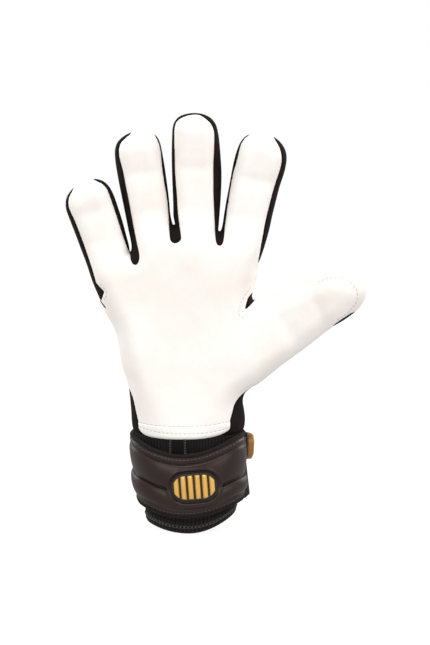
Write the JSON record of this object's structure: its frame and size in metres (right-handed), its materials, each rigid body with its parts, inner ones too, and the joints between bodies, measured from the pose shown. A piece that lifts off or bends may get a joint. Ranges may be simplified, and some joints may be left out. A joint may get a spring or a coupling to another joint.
{
  "type": "goalkeeper glove",
  "caption": "Padded right-hand goalkeeper glove: foam palm, stretch gussets between the fingers, elastic cuff and a wrist strap with a peel-off tab; fingers, thumb and strap move.",
  "frame": {"origin": "on the wrist's centre line, level with the lowest point of the cuff rim", "axes": "+Z along the hand towards the fingertips, -Y out of the palm, +X towards the thumb"},
  "size_m": [0.2089, 0.0674, 0.2893],
  "materials": {
    "latex_foam": "matt foam with a fine open surface",
    "stretch_mesh": "black stretch knit",
    "back_panel": "black coated textile",
    "embossed_pad": "black embossed rubber",
    "soft_lining": "brushed lining",
    "white_binding": "white sewn edge",
    "elastic_knit": "ribbed elastic knit",
    "woven_tape": "woven tape with ladder stitching",
    "strap_leather": "grained synthetic leather, satin",
    "strap_foam": "foam core",
    "edge_binding": "folded and sewn edge",
    "hook_tape": "hook tape",
    "loop_tape": "loop tape",
    "badge_rubber": "moulded rubber",
    "gold_rubber": "gold metallic, satin",
    "amber_rubber": "dark gold moulded rubber"
  },
  "bodies": {
    "hand": {"backhand_lining": "soft_lining", "backhand_panel": "back_panel", "backhand_punch_pad": "embossed_pad", "cuff_bandage": "elastic_knit", "cuff_hem": "elastic_knit", "finger_web_gussets": "stretch_mesh", "loop_patch": "loop_tape", "palm_foam_lining": "soft_lining", "palm_hem_binding": "white_binding", "palm_latex": "latex_foam", "radial_side_gusset": "stretch_mesh", "side_stud_core": "badge_rubber", "side_stud_frame": "amber_rubber", "strap_anchor_binding": "edge_binding", "strap_anchor_foam": "strap_foam", "strap_anchor_lining": "soft_lining", "strap_anchor_shell": "strap_leather", "thumb_web_gusset": "stretch_mesh", "ulnar_side_gusset": "stretch_mesh", "wrist_tape": "woven_tape"},
    "pinky_lower": {"pinky_latex_lower": "latex_foam", "pinky_gusset_lower": "stretch_mesh", "pinky_back_lower": "back_panel"},
    "pinky_upper": {"pinky_latex_upper": "latex_foam", "pinky_gusset_upper": "stretch_mesh", "pinky_back_upper": "back_panel"},
    "ring_lower": {"ring_latex_lower": "latex_foam", "ring_gusset_lower": "stretch_mesh", "ring_back_lower": "back_panel"},
    "ring_upper": {"ring_latex_upper": "latex_foam", "ring_gusset_upper": "stretch_mesh", "ring_back_upper": "back_panel"},
    "middle_lower": {"middle_latex_lower": "latex_foam", "middle_gusset_lower": "stretch_mesh", "middle_back_lower": "back_panel"},
    "middle_upper": {"middle_latex_upper": "latex_foam", "middle_gusset_upper": "stretch_mesh", "middle_back_upper": "back_panel"},
    "index_lower": {"index_latex_lower": "latex_foam", "index_gusset_lower": "stretch_mesh", "index_back_lower": "back_panel"},
    "index_upper": {"index_latex_upper": "latex_foam", "index_gusset_upper": "stretch_mesh", "index_back_upper": "back_panel"},
    "thumb_lower": {"thumb_latex_lower": "latex_foam", "thumb_gusset_lower": "stretch_mesh", "thumb_back_lower": "back_panel"},
    "thumb_upper": {"thumb_latex_upper": "latex_foam", "thumb_gusset_upper": "stretch_mesh", "thumb_back_upper": "back_panel"},
    "strap_flap": {"strap_shell": "strap_leather", "strap_foam": "strap_foam", "strap_lining": "soft_lining", "strap_edge_binding": "edge_binding", "badge_base": "badge_rubber", "badge_face": "gold_rubber"},
    "strap_tab": {"strap_tab_shell": "strap_leather", "strap_tab_foam": "strap_foam", "strap_tab_binding": "edge_binding", "hook_patch": "hook_tape"}
  },
  "joints": [
    {"name": "pinky_base_bend", "type": "hinge", "parent": "hand", "child": "pinky_lower", "pos_m": [-0.0581, -0.008, 0.1976], "axis": [1, 0, 0], "range_deg": [-10, 78]},
    {"name": "pinky_tip_bend", "type": "hinge", "parent": "pinky_lower", "child": "pinky_upper", "pos_m": [-0.0639, -0.00958, 0.2195], "axis": [0.9676, 0, 0.2526], "range_deg": [0, 85]},
    {"name": "ring_base_bend", "type": "hinge", "parent": "hand", "child": "ring_lower", "pos_m": [-0.0272, -0.008, 0.2181], "axis": [1, 0, 0], "range_deg": [-10, 76]},
    {"name": "ring_tip_bend", "type": "hinge", "parent": "ring_lower", "child": "ring_upper", "pos_m": [-0.0312, -0.00994, 0.2456], "axis": [0.9902, 0, 0.1397], "range_deg": [0, 85]},
    {"name": "middle_base_bend", "type": "hinge", "parent": "hand", "child": "middle_lower", "pos_m": [0.006, -0.008, 0.2188], "axis": [1, 0, 0], "range_deg": [-10, 76]},
    {"name": "middle_tip_bend", "type": "hinge", "parent": "middle_lower", "child": "middle_upper", "pos_m": [0.0055, -0.01014, 0.2494], "axis": [0.9999, 0, 0.0164], "range_deg": [0, 85]},
    {"name": "index_base_bend", "type": "hinge", "parent": "hand", "child": "index_lower", "pos_m": [0.0405, -0.008, 0.2133], "axis": [1, 0, 0], "range_deg": [-10, 76]},
    {"name": "index_tip_bend", "type": "hinge", "parent": "index_lower", "child": "index_upper", "pos_m": [0.0459, -0.01, 0.2414], "axis": [0.9824, 0, -0.1869], "range_deg": [0, 85]},
    {"name": "thumb_base_bend", "type": "hinge", "parent": "hand", "child": "thumb_lower", "pos_m": [0.067, -0.014, 0.1422], "axis": [0.5297, 0, -0.8482], "range_deg": [-10, 40]},
    {"name": "thumb_tip_bend", "type": "hinge", "parent": "thumb_lower", "child": "thumb_upper", "pos_m": [0.0891, -0.01954, 0.156], "axis": [0.4576, 0, -0.8891], "range_deg": [-5, 65]},
    {"name": "strap_open", "type": "hinge", "parent": "hand", "child": "strap_flap", "pos_m": [-0.03796, 0, 0.0457], "axis": [0.1483, 0, -0.9889], "range_deg": [0, 110]},
    {"name": "tab_peel", "type": "hinge", "parent": "strap_flap", "child": "strap_tab", "pos_m": [0.0298, -0.01928, 0.0437], "axis": [0, 0.0599, -0.9982], "range_deg": [0, 50]}
  ]
}
